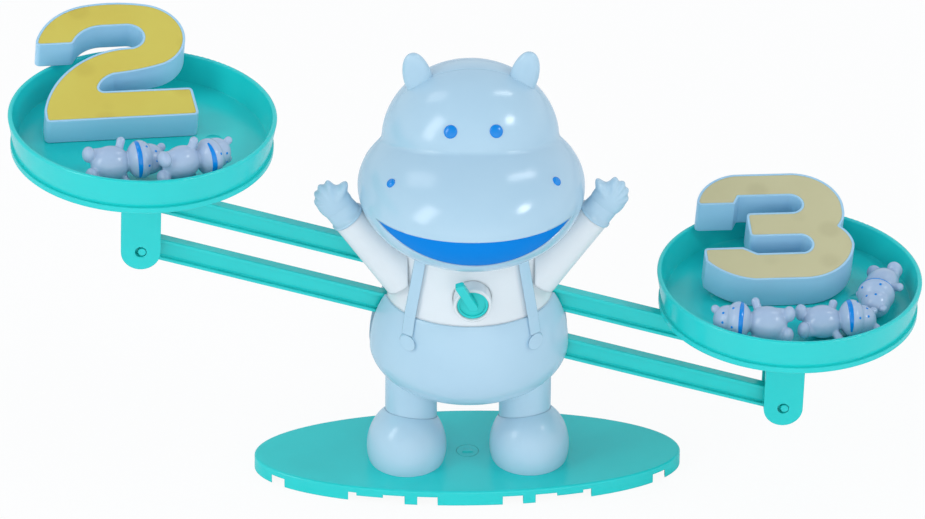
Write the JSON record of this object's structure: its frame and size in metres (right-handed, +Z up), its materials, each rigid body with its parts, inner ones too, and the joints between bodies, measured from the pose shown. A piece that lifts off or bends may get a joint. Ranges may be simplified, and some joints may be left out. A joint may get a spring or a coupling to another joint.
{
  "type": "counting balance toy",
  "caption": "Standing animal figure whose two parallel tilting beams carry round pans for number weights and small counters, so that sums can be weighed.",
  "frame": {"origin": "on the table under the middle of the base", "axes": "+X to the viewer's right along the pans, +Y to the back, +Z up; at rest the right pan is down"},
  "size_m": [0.376, 0.1217, 0.1949],
  "materials": {
    "teal_plastic": "glossy moulded ABS, turquoise",
    "blue_plastic": "glossy moulded ABS, pale blue",
    "counter_plastic": "glossy moulded plastic, pale lilac blue",
    "shirt_plastic": "glossy moulded ABS, off-white",
    "mouth_plastic": "glossy moulded ABS, bright blue",
    "yellow_plastic": "satin moulded plastic, soft yellow",
    "plated_steel": "zinc plated steel"
  },
  "bodies": {
    "stand": {"base_plate": "teal_plastic", "base_cap": "teal_plastic", "left_shoe": "blue_plastic", "right_shoe": "blue_plastic", "left_leg": "blue_plastic", "right_leg": "blue_plastic", "overalls_front": "blue_plastic", "overalls_back": "blue_plastic", "left_front_strap": "blue_plastic", "left_back_strap": "blue_plastic", "right_front_strap": "blue_plastic", "right_back_strap": "blue_plastic", "strap_buttons": "blue_plastic", "left_hand": "blue_plastic", "right_hand": "blue_plastic", "head_front": "blue_plastic", "head_back": "blue_plastic", "left_ear": "blue_plastic", "right_ear": "blue_plastic", "neck_spool": "blue_plastic", "shirt_front": "shirt_plastic", "shirt_back": "shirt_plastic", "mouth_insert": "mouth_plastic", "left_eye": "mouth_plastic", "right_eye": "mouth_plastic", "left_nostril": "mouth_plastic", "right_nostril": "mouth_plastic", "leg_screws": "plated_steel", "overalls_screws": "plated_steel", "shirt_screws": "plated_steel", "head_screws": "plated_steel", "lower_pivot_pin": "plated_steel"},
    "upper_beam": {"upper_beam": "teal_plastic", "knob_collar": "blue_plastic"},
    "trim_knob": {"trim_knob": "teal_plastic"},
    "lower_beam": {"lower_beam": "teal_plastic"},
    "left_pan": {"left_dish": "teal_plastic", "left_stem": "teal_plastic", "left_pan_screws": "plated_steel"},
    "right_pan": {"right_dish": "teal_plastic", "right_stem": "teal_plastic", "right_pan_screws": "plated_steel"},
    "number_two": {"number_two": "blue_plastic", "number_two_face": "yellow_plastic"},
    "number_three": {"number_three": "blue_plastic", "number_three_face": "yellow_plastic"},
    "left_first_mini": {"left_first_mini": "counter_plastic", "left_first_mini_mouth": "mouth_plastic"},
    "left_second_mini": {"left_second_mini": "counter_plastic", "left_second_mini_mouth": "mouth_plastic"},
    "right_first_mini": {"right_first_mini": "counter_plastic", "right_first_mini_mouth": "mouth_plastic"},
    "right_second_mini": {"right_second_mini": "counter_plastic", "right_second_mini_mouth": "mouth_plastic"},
    "right_third_mini": {"right_third_mini": "counter_plastic", "right_third_mini_mouth": "mouth_plastic"}
  },
  "joints": [
    {"name": "upper_beam_tilt", "type": "hinge", "parent": "stand", "child": "upper_beam", "pos_m": [0, 0, 0.0978], "axis": [0, 1, 0], "range_deg": [-33.2, 0]},
    {"name": "lower_beam_tilt", "type": "hinge", "parent": "stand", "child": "lower_beam", "pos_m": [0, 0, 0.0753], "axis": [0, 1, 0], "range_deg": [-33.2, 0]},
    {"name": "left_pan_level", "type": "hinge", "parent": "upper_beam", "child": "left_pan", "pos_m": [-0.13481, 0, 0.13214], "axis": [0, 1, 0], "range_deg": [0, 30.5]},
    {"name": "right_pan_level", "type": "hinge", "parent": "upper_beam", "child": "right_pan", "pos_m": [0.13161, 0, 0.05272], "axis": [0, 1, 0], "range_deg": [0, 30.5]},
    {"name": "trim_knob_turn", "type": "hinge", "parent": "upper_beam", "child": "trim_knob", "pos_m": [0, 0, 0.0978], "axis": [0, 1, 0], "range_deg": [-19.4, 100.6]},
    {"name": "number_two_lift", "type": "slide", "parent": "left_pan", "child": "number_two", "axis": [0, 0, 1], "range_m": [0, 0.03]},
    {"name": "number_three_lift", "type": "slide", "parent": "right_pan", "child": "number_three", "axis": [0, 0, 1], "range_m": [0, 0.03]},
    {"name": "left_first_mini_lift", "type": "slide", "parent": "left_pan", "child": "left_first_mini", "axis": [0, 0, 1], "range_m": [0, 0.03]},
    {"name": "left_second_mini_lift", "type": "slide", "parent": "left_pan", "child": "left_second_mini", "axis": [0, 0, 1], "range_m": [0, 0.03]},
    {"name": "right_first_mini_lift", "type": "slide", "parent": "right_pan", "child": "right_first_mini", "axis": [0, 0, 1], "range_m": [0, 0.03]},
    {"name": "right_second_mini_lift", "type": "slide", "parent": "right_pan", "child": "right_second_mini", "axis": [0, 0, 1], "range_m": [0, 0.03]},
    {"name": "right_third_mini_lift", "type": "slide", "parent": "right_pan", "child": "right_third_mini", "axis": [0, 0, 1], "range_m": [0, 0.03]}
  ],
  "couplings": [
    {"joint": "lower_beam_tilt", "follows": "upper_beam_tilt", "ratio": 1},
    {"joint": "left_pan_level", "follows": "upper_beam_tilt", "ratio": -0.9157},
    {"joint": "right_pan_level", "follows": "upper_beam_tilt", "ratio": -0.9157}
  ]
}
